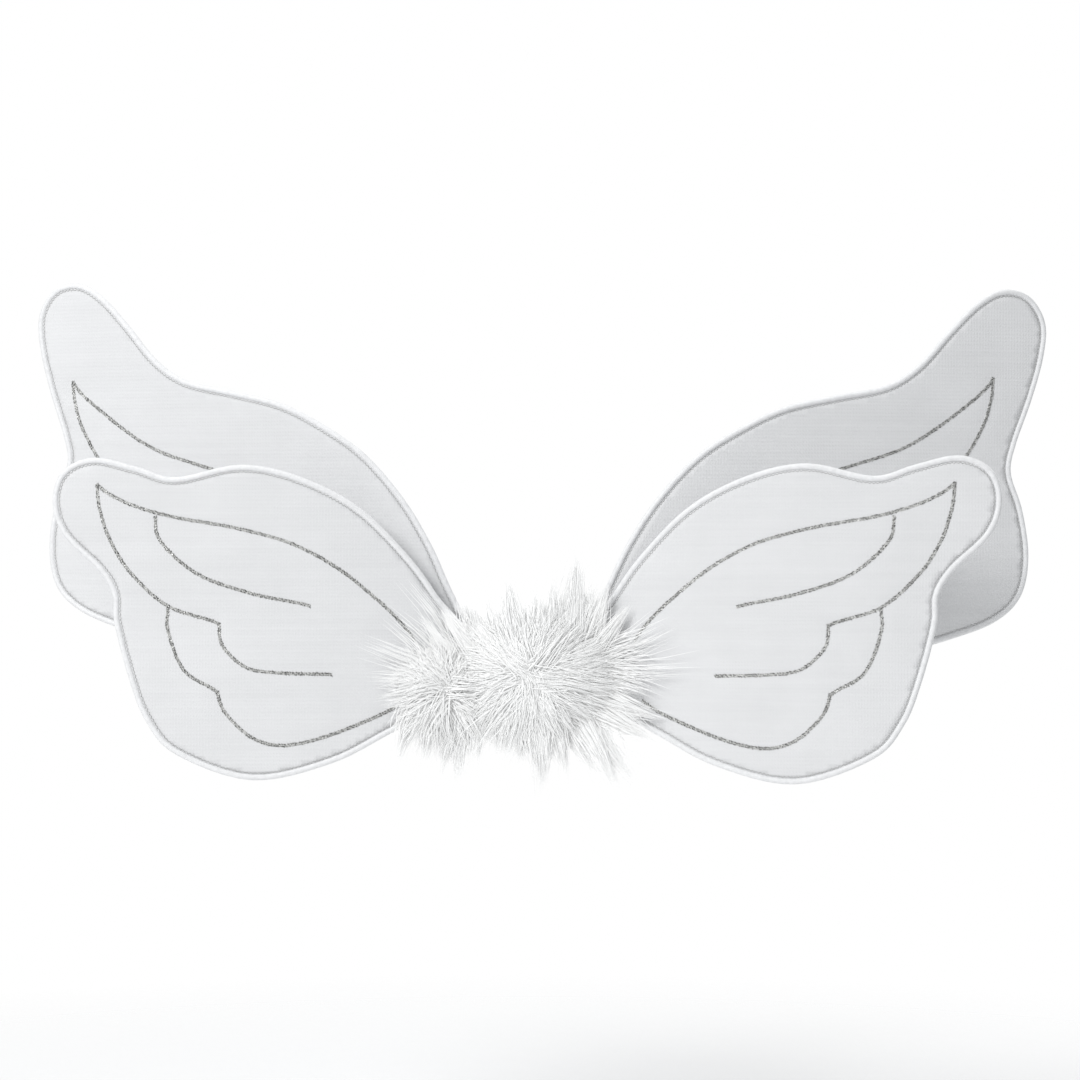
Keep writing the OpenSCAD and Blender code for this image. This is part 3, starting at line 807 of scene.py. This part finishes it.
def whorl_locks(whorl, draw):
    """Locks that part at a whorl's middle and lie over its dome, the innermost on top."""
    (cx, cz), count, strands, root_r, (right, up, left, down) = whorl
    for i in range(count):
        share = math.sqrt((i + 0.5) / count)
        turn = i * GOLDEN_ANGLE
        c, s = math.cos(turn), math.sin(turn)
        reach = math.hypot((right if c > 0 else left) * c, (up if s > 0 else down) * s)
        far = reach * (0.68 + 0.3 * share) * draw.uniform(0.86, 1.06)
        foot = np.array([cx + root_r * share * c, 0, cz + root_r * share * s])
        tip = np.array([cx + far * c, 0, cz + far * s])
        foot[1] = skin_depth(foot[0]) - 0.92 * core_height(foot[0], foot[2])
        tip[1] = skin_depth(tip[0]) - 2.5 - 9 * (1 - share) * draw.uniform(0.7, 1.2)
        yield foot, tip, 4 + 7 * (1 - share), 8, strands, 0.55


def tuft_locks(draw):
    for (x0, z0), (x1, z1), width, strands in TUFTS:
        foot = np.array([x0, skin_depth(x0) - 0.7 * core_height(x0, z0), z0])
        tip = np.array([x1, skin_depth(x1) - core_height(x1, z1) - draw.uniform(3, 8), z1])
        wisp = abs(x1) > 64 and z1 > -20
        yield foot, tip, 4 if wisp else 9, width, strands // 2 if wisp else strands, 1.0 if wisp else 0.25


def strands_mesh(paths, draw):
    """Flattened, tapered strands along many short paths: points, triangles, share along each
    and how many points one has. The broad side faces out of the fur."""
    rings = len(STRAND_AT) - 1
    along = unit(np.gradient(paths, axis=1))
    side = unit(np.cross(along, np.array([0.0, -1.0, 0.0])))
    out = np.cross(side, along)
    roll = draw.normal(size=(len(paths), 1, 1)) * 0.15
    side, out = side * np.cos(roll) + out * np.sin(roll), out * np.cos(roll) - side * np.sin(roll)
    taper = ((1 - STRAND_AT[:rings] ** 1.6) * STRAND_W + 0.05)[None, :, None]
    base = paths[:, :rings]
    corners = [base - taper * side[:, :rings], base + taper * side[:, :rings],
               base + taper * STRAND_H / STRAND_W * out[:, :rings]]
    body = np.stack(corners, 2).reshape(len(paths), rings * 3, 3)
    verts = np.concatenate([body, paths[:, -1:]], 1)
    pattern = [(0, 1, 2)]
    for i in range(rings - 1):
        for k in range(3):
            a, b = 3 * i + k, 3 * i + (k + 1) % 3
            pattern += [(a, b + 3, b), (a, a + 3, b + 3)]
    last, top = 3 * (rings - 1), 3 * rings
    pattern += [(last + k, top, last + (k + 1) % 3) for k in range(3)]
    each = verts.shape[1]
    faces = np.array(pattern)[None] + each * np.arange(len(paths))[:, None, None]
    share = np.append(np.repeat(STRAND_AT[:rings], 3), 1.0)
    return verts.reshape(-1, 3), faces.reshape(-1, 3), np.tile(share, len(paths)), each


def fur():
    """The tuft in three pieces: the middle rides the pad, the sides stay fixed in the frame."""
    draw = np.random.default_rng(7)
    groups = {"left": [], "centre": [], "right": []}
    every = list(tuft_locks(draw))
    for whorl in WHORLS:
        every += list(whorl_locks(whorl, draw))
    for shape in every:
        paths, tones = lock(*shape, draw)
        low, high = paths[..., 0].min(), paths[..., 0].max()
        group = "left" if low < -FUR_SPLIT else "right" if high > FUR_SPLIT else "centre"
        groups[group].append((paths, tones))
    for side, locks in groups.items():
        paths = np.concatenate([p for p, _ in locks])
        points, faces, along, each = strands_mesh(paths, draw)
        tones = np.repeat(np.concatenate([t for _, t in locks]), each)
        if side == "left":
            dome, dome_faces = core_mesh(*CORES[1])
            faces = np.vstack([faces, dome_faces + len(points)])
            points = np.vstack([points, dome])
            # The dome gets an along of 0.3, so the fur's painted root shade darkens it partway.
            tones, along = np.r_[tones, np.full(len(dome), 0.4)], np.r_[along, np.full(len(dome), 0.3)]
        made = triangles("fur_" + side, (points + (0, 0, RISE)) * MM, faces, FUR, smooth=False)
        point_values(made, "tone", tones)
        point_values(made, "along", along)
        if side == "centre":
            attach(made, "root")
        else:
            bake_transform(made)


def undercoat():
    """The dense short pile in the middle of the tuft."""
    points, faces = core_mesh(*CORES[0])
    made = triangles("fur_undercoat", (points + (0, 0, RISE)) * MM, faces, FUR)
    face_outwards(made)
    point_values(made, "tone", [0.4] * len(points))
    # An along of 0.3 gives the pile part of the fur's painted root shade.
    point_values(made, "along", [0.3] * len(points))
    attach(made, "root")
    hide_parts("fur_pile")


# ---- Centre pad ----

def rounded_outline(node, inset=0.0, corner=7.0, spacing=2.0):
    """A rounded rectangle across and up, in millimetres, inside a CAD node's box."""
    low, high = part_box(node)
    x0, x1 = low.x / MM + inset, high.x / MM - inset
    z0, z1 = low.z / MM + inset, high.z / MM - inset
    r = max(corner - inset, 0.5)
    points = []
    centres = [(x1 - r, z1 - r), (x0 + r, z1 - r), (x0 + r, z0 + r), (x1 - r, z0 + r)]
    for quarter, (cx, cz) in enumerate(centres):
        for step in range(7):
            a = math.radians(90 * quarter + 15 * step)
            points.append((cx + r * math.cos(a), cz + r * math.sin(a)))
    points.append(points[0])
    return resample(np.array(points), spacing)[:-1]


def slab(name, edge, spacing, near, far, material):
    """A closed cloth layer over an outline. near and far give frame points, in millimetres,
    of the two faces from flat points and their distances from the edge."""
    tree = nearest_tree(resample(np.vstack([edge, edge[:1]]), 0.5))
    flat, faces = filled(edge, tree, spacing)
    inside = distances(tree, flat)
    points = np.vstack([near(flat, inside), far(flat, inside)]) * MM
    made = piece(name, points, shell(faces, len(flat)), material)
    face_outwards(made)
    return made


def pad_layer(name, node, material, inset=0.15, corner=7.0, dip_at=2.6, dip=0.28, spacing=2.0):
    """A flat pad layer that rides the pad: rounded rims and a groove under its stitching."""
    low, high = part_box(node)
    edge = rounded_outline(node, inset, corner)

    def face(y, inwards, flat, inside):
        soft = 0.3 * np.exp(-inside / 0.9) + dip * np.exp(-((inside - dip_at) / 1.0) ** 2)
        wave = np.array([0.07 * (1 + noise.noise(Vector((p[0] / 6, p[1] / 6, y)))) for p in flat])
        return np.stack([flat[:, 0], y + inwards * (soft + wave), flat[:, 1]], 1)

    made = slab(name, edge, spacing, lambda f, d: face(high.y / MM, -1, f, d),
                lambda f, d: face(low.y / MM, 1, f, d), material)
    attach(made, "root")
    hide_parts(node)
    return made


def stitches(name, path, outwards, body, length=2.4, gap=0.9, thick=0.24, material=WHITE_THREAD,
             slant=0.0):
    """Running stitches along a closed or open frame path, in millimetres, each a small
    raised thread with its ends drawn in. outwards is the cloth's direction."""
    path = resample(path, length + gap)
    parts = []
    for a, b in zip(path, path[1:]):
        way = unit(b - a)
        side = np.cross(way, outwards)
        way = unit(way + slant * side)
        side = np.cross(way, outwards)
        shares = np.array([0, 0.15, 0.5, 0.85, 1.0])
        lift = thick * np.array([-0.6, 0.5, 0.9, 0.5, -0.6])
        line = a + length * shares[:, None] * way + lift[:, None] * outwards
        radii = thick * np.array([0.6, 0.9, 1.0, 0.9, 0.6])
        points, faces = sweep(line, np.tile(side, (5, 1)), np.tile(outwards, (5, 1)),
                              circle_profile(radii, 5))
        parts.append((points * MM, faces))
    made = piece(name, *merge(parts), material)
    face_outwards(made)
    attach(made, body)
    return made


def closed_path(flat, y):
    flat = np.vstack([flat, flat[:1]])
    return np.stack([flat[:, 0], np.full(len(flat), y), flat[:, 1]], 1)


WEARER = np.array([0.0, 1.0, 0.0])


def pad_covers():
    """Felt back, its lining patch and the fur's knit backing, each with its stitching."""
    pad_layer("back_cover", "back_felt", FELT, corner=8.0)
    stitches("back_cover_stitching", closed_path(rounded_outline("back_felt", 2.7, 8.0), -1.42),
             WEARER, "root")
    pad_layer("lining_panel", "lining_patch", LINING, corner=6.0, dip_at=2.2, spacing=1.6)
    stitches("lining_stitching", closed_path(rounded_outline("lining_patch", 2.3, 6.0), -0.25),
             WEARER, "root", length=2.0, gap=0.8, thick=0.2)
    pad_layer("fur_backing_cloth", "fur_backing", BACKING_CLOTH, corner=8.0)
    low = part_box("fur_backing")[1].y / MM
    stitches("fur_backing_stitching", closed_path(rounded_outline("fur_backing", 1.6, 8.0), low),
             WEARER, "root", slant=0.9)


def gussets():
    """Two felt strips that close the pad's top and bottom, drawn in a little between seams."""
    low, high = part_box("pad_gussets")
    thick, seam_in = 1.2, 1.6
    for name, side in (("gusset_top", 1), ("gusset_bottom", -1)):
        z_out = (high.z if side > 0 else low.z) / MM
        x0, x1, y0, y1 = low.x / MM, high.x / MM, low.y / MM, high.y / MM
        corners = np.array([(x0, y0), (x1, y0), (x1, y1), (x0, y1), (x0, y0)], float)
        edge = resample(corners, 1.7)[:-1]

        def face(flat, inside, depth):
            middle = np.clip(inside / 6, 0, 1)
            soft = 0.5 * middle + 0.2 * np.exp(-((inside - seam_in) / 0.8) ** 2)
            return np.stack([flat[:, 0], flat[:, 1], z_out - side * (soft + depth)], 1)

        made = slab(name, edge, 1.8, lambda f, d: face(f, d, 0.0),
                    lambda f, d: face(f, d, thick * 0.7), FELT)
        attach(made, "root")
        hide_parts("pad_gussets")
        up = np.array([0.0, 0.0, float(side)])
        for k, y in enumerate((y0 + seam_in, y1 - seam_in)):
            z = z_out - side * 0.2
            row = np.array([(x0 + 2, y, z), (x1 - 2, y, z)])
            stitches(f"{name}_stitching_{k + 1}", row, up, "root", length=2.0, gap=0.8, thick=0.2)


def puffed(made, node, swell=0.002, voxel=0.0024):
    """Swells a block by cloth simulation between the two faces that press it, in its CAD space."""
    low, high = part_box(node)
    bpy.context.view_layer.objects.active = made
    made.select_set(True)
    remesh = made.modifiers.new("remesh", "REMESH")
    remesh.mode, remesh.voxel_size = "VOXEL", voxel
    bpy.ops.object.modifier_apply(modifier=remesh.name)
    start = np.array([v.co for v in made.data.vertices])
    cloth = made.modifiers.new("cloth", "CLOTH")
    cloth.settings.use_pressure = True
    cloth.settings.uniform_pressure_force = 4
    cloth.settings.effector_weights.gravity = 0
    for number in range(1, 21):
        bpy.context.scene.frame_set(number)
    shape = made.evaluated_get(bpy.context.evaluated_depsgraph_get())
    moved = np.array([v.co for v in shape.data.vertices]) - start
    made.modifiers.remove(cloth)
    bpy.context.scene.frame_set(1)
    size = np.linalg.norm(moved, axis=1, keepdims=True)
    end = start + moved * np.minimum(1, swell / np.maximum(size, 1e-9))
    end = np.clip(end, np.array(low), np.array(high))
    made.data.vertices.foreach_set("co", end.astype(np.float32).ravel())
    divide = made.modifiers.new("divide", "SUBSURF")
    divide.levels = divide.render_levels = 1
    bpy.ops.object.modifier_apply(modifier=divide.name)
    made.data.polygons.foreach_set("use_smooth", [True] * len(made.data.polygons))
    made.select_set(False)
    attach(made, "root")
    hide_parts(node)


def fillings():
    """The foam behind the core plate and the wadding in front of it."""
    for name, node, material, slot, corner in (
            ("foam_pad", "back_foam", FOAM, "foam", 4.0),
            ("wadding_pad", "front_wadding", WADDING, "foam", 6.0)):
        low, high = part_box(node)
        margin = 1.4

        def face(flat, inside, y, inwards):
            return np.stack([flat[:, 0], y + inwards * 1.2 * np.exp(-inside / 1.5), flat[:, 1]], 1)

        edge = rounded_outline(node, margin, corner + margin)
        made = slab(name, edge, 3.0, lambda f, d: face(f, d, high.y / MM - 0.3, -1),
                    lambda f, d: face(f, d, low.y / MM + 0.3, 1), material)
        puffed(made, node)


# ---- Arm loops ----

LOOP_PLAN = [
    (0, 16), (9, 25), (32, 36), (70, 38), (98, 27), (110, 6), (98, -13), (66, -20),
    (32, -22), (9, -20), (0, -14),
]
LOOP_TURN = math.radians(50)
ELASTIC_W, ELASTIC_T, NECK_W, NECK_S = 10, 1.2, 4, 9
ROLL_Z, KEEPER_Z = 14, 11.5
RIBS = 6


def elastic_profile(width, thick):
    """Half-round ribs across both faces of a band."""
    across = np.linspace(-width / 2, width / 2, 4 * RIBS + 1)
    rib = 0.74 + 0.26 * np.abs(np.sin(math.pi * RIBS * (across / width + 0.5)))
    rib[[0, -1]] = 0.35
    half = thick / 2 * rib
    return np.vstack([np.stack([across, half], 1), np.stack([across[::-1], -half[::-1]], 1)])


def arm_loop(side):
    """One elastic loop with gathered necks and thread-wrapped rolled ends."""
    name = ("left" if side < 0 else "right") + "_strap"
    joint = next(j for j in frame["joints"] if j["child"] == name)
    hinge = np.array(joint["pos_m"]) / MM
    path = resample(curve(LOOP_PLAN, 8), 1.6)
    way = np.array([side * math.cos(LOOP_TURN), math.sin(LOOP_TURN), 0])
    centre = hinge + path[:, :1] * way + path[:, 1:] * np.array([0, 0, 1.0])
    along = unit(np.gradient(centre, axis=0))
    across = np.tile(unit(np.cross(way, np.array([0, 0, 1.0]))), (len(path), 1))
    up = np.cross(along, across)
    open_share = np.clip((path[:, 0] - NECK_S) / 6, 0, 1)
    open_share = open_share ** 2 * (3 - 2 * open_share)
    profiles = np.stack([
        elastic_profile(NECK_W + (ELASTIC_W - NECK_W) * s, ELASTIC_T * (1.35 - 0.35 * s))
        for s in open_share])
    parts = [sweep(centre, across, up, profiles)]
    roll_r = 1.4
    for z in (ROLL_Z, -ROLL_Z):
        heights = np.linspace(z - 4.9, z + 4.9, 50)
        wrapped = roll_r * (0.93 + 0.07 * np.cos(2 * math.pi * heights / 0.8))
        wrapped[[0, -1]] *= 0.7
        line = np.stack([np.full(50, hinge[0]), np.full(50, hinge[1]), heights], 1)
        parts.append(sweep(line, np.tile([1.0, 0, 0], (50, 1)), np.tile([0, 1.0, 0], (50, 1)),
                           circle_profile(wrapped, 12)))
    points, faces = merge(parts)
    made = piece(name + "_elastic", points * MM, faces, ELASTIC)
    face_outwards(made)
    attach(made, name)
    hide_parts(name)


def tabs():
    """Four woven tabs, each with a box of stitches, and the keeper rings wound on them."""
    width, height, count = 10, 16, 28
    keeper_r, keeper_back_r, wraps = 1.95, 2.3, 5
    joints = [j for j in frame["joints"] if j["child"].endswith("_strap")]
    parts, marks, rings = [], [], []
    for joint in joints:
        x, axis_y = joint["pos_m"][0] / MM, joint["pos_m"][1] / MM
        for z in (ROLL_Z, -ROLL_Z):
            heights = np.linspace(z - height / 2, z + height / 2, count)
            line = np.stack([np.full(count, x), np.full(count, -0.6), heights], 1)
            shape = np.array([elastic_profile(width - 0.2, 1.15)] * count)
            shape[[0, -1]] *= 0.94
            parts.append(sweep(line, np.tile([1.0, 0, 0], (count, 1)),
                               np.tile([0, 1.0, 0], (count, 1)), shape))
            box = [np.array([x + sx * 3.4, 0.0, z + sz * 6.2])
                   for sx, sz in ((-1, -1), (1, -1), (1, 1), (-1, 1))]
            marks += [np.array([box[k], box[(k + 1) % 4]]) for k in range(4)]
            ring_z = math.copysign(KEEPER_Z, z)
            for turn in np.linspace(-1.2, 1.2, wraps):
                angle = np.linspace(0, 2 * math.pi, 25)
                radius = np.where(np.sin(angle) < 0, keeper_back_r, keeper_r)
                loop = np.stack([x + keeper_r * np.cos(angle), axis_y + radius * np.sin(angle),
                                 np.full(25, ring_z + turn)], 1)
                out = np.stack([np.cos(angle), np.sin(angle), np.zeros(25)], 1)
                rings.append(sweep(loop, out, np.tile([0, 0, 1.0], (25, 1)), circle_profile([0.36] * 25, 6)))
    points, faces = merge(parts)
    made = piece("woven_tabs", points * MM, faces, ELASTIC)
    face_outwards(made)
    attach(made, "root")
    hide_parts("strap_tabs")
    for k, mark in enumerate(marks):
        stitches(f"tab_stitching_{k + 1}", mark, WEARER, "root", length=1.4, gap=0.4, thick=0.18)
    points, faces = merge(rings)
    made = piece("wound_keepers", points * MM, faces, WHITE_THREAD)
    face_outwards(made)
    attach(made, "root")
    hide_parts("tab_keepers")


# ---- Stage, light and camera ----

def use_material(node, material):
    """A CAD node keeps its mesh and gets a better finish."""
    made = frame["nodes"][node]
    made.data.materials.clear()
    made.data.materials.append(material)


def cad_finishes():
    for values in WINGS:
        use_material(values[0] + "_wire", STEEL_WIRE)
        use_material(values[0] + "_ferrule", CRIMP_METAL)
    for node in ("core_plate", "front_clips", "rear_clips"):
        use_material(node, PLASTIC)
    use_material("clip_rivets", RIVET_METAL)


def stage():
    """A round pale floor below the wings, in front of a plain white surround."""
    radius, sides, drop = 2.6, 96, 0.24
    floor_z = CAD_BOX[0].z - drop
    rim = [(radius * math.cos(2 * math.pi * i / sides), radius * math.sin(2 * math.pi * i / sides), 0)
           for i in range(sides)]
    floor = piece("studio_floor", rim, [tuple(range(sides))], floor_material(), smooth=False)
    floor.location.z = floor_z
    world = bpy.data.worlds.new("studio")
    bpy.context.scene.world = world
    world.use_nodes = True
    tree = world.node_tree
    seen = add(tree, "Background", Color=(1, 1, 1, 1), Strength=1.0)
    fill = add(tree, "Background", Color=(0.97, 0.985, 1, 1), Strength=0.57)
    choice = add(tree, "MixShader")
    path = add(tree, "LightPath")
    tree.links.new(path.outputs["Is Camera Ray"], choice.inputs[0])
    tree.links.new(fill.outputs[0], choice.inputs[1])
    tree.links.new(seen.outputs[0], choice.inputs[2])
    tree.links.new(choice.outputs[0], tree.nodes["World Output"].inputs["Surface"])


def soft_light(name, place, size, power, target=(0, 0, 0.06)):
    data = bpy.data.lights.new(name, "AREA")
    data.shape = "DISK"
    data.size = size
    data.energy = power
    light = bpy.data.objects.new(name, data)
    light.location = place
    light.rotation_mode = "QUATERNION"
    light.rotation_quaternion = (Vector(target) - Vector(place)).to_track_quat("-Z", "Y")
    bpy.context.scene.collection.objects.link(light)


def lights():
    soft_light("key", (-1.1, -1.7, 1.3), 0.9, 31)
    soft_light("top", (0.2, 0.5, 1.9), 1.2, 9)
    soft_light("back", (0.9, 1.8, 1.0), 1.2, 9)


def camera():
    """Level with the wings and a few degrees to their right, as the object is shown."""
    azimuth, distance = math.radians(5.5), 1.7
    right = Vector((math.cos(azimuth), math.sin(azimuth), 0))
    ahead = Vector((-math.sin(azimuth), math.cos(azimuth), 0))
    target = Vector((0, -0.015, 0.0778)) + 0.0081 * right
    data = bpy.data.cameras.new("camera")
    data.lens = 101.5
    view = bpy.data.objects.new("camera", data)
    view.location = target - distance * ahead
    view.rotation_mode = "QUATERNION"
    view.rotation_quaternion = ahead.to_track_quat("-Z", "Y")
    data.clip_end = 20
    bpy.context.scene.collection.objects.link(view)
    bpy.context.scene.camera = view
    bpy.context.scene.view_settings.view_transform = "Standard"


camera()
lights()
stage()
cad_finishes()
wings()
undercoat()
fur()
pad_covers()
gussets()
fillings()
for way in (-1, 1):
    arm_loop(way)
tabs()
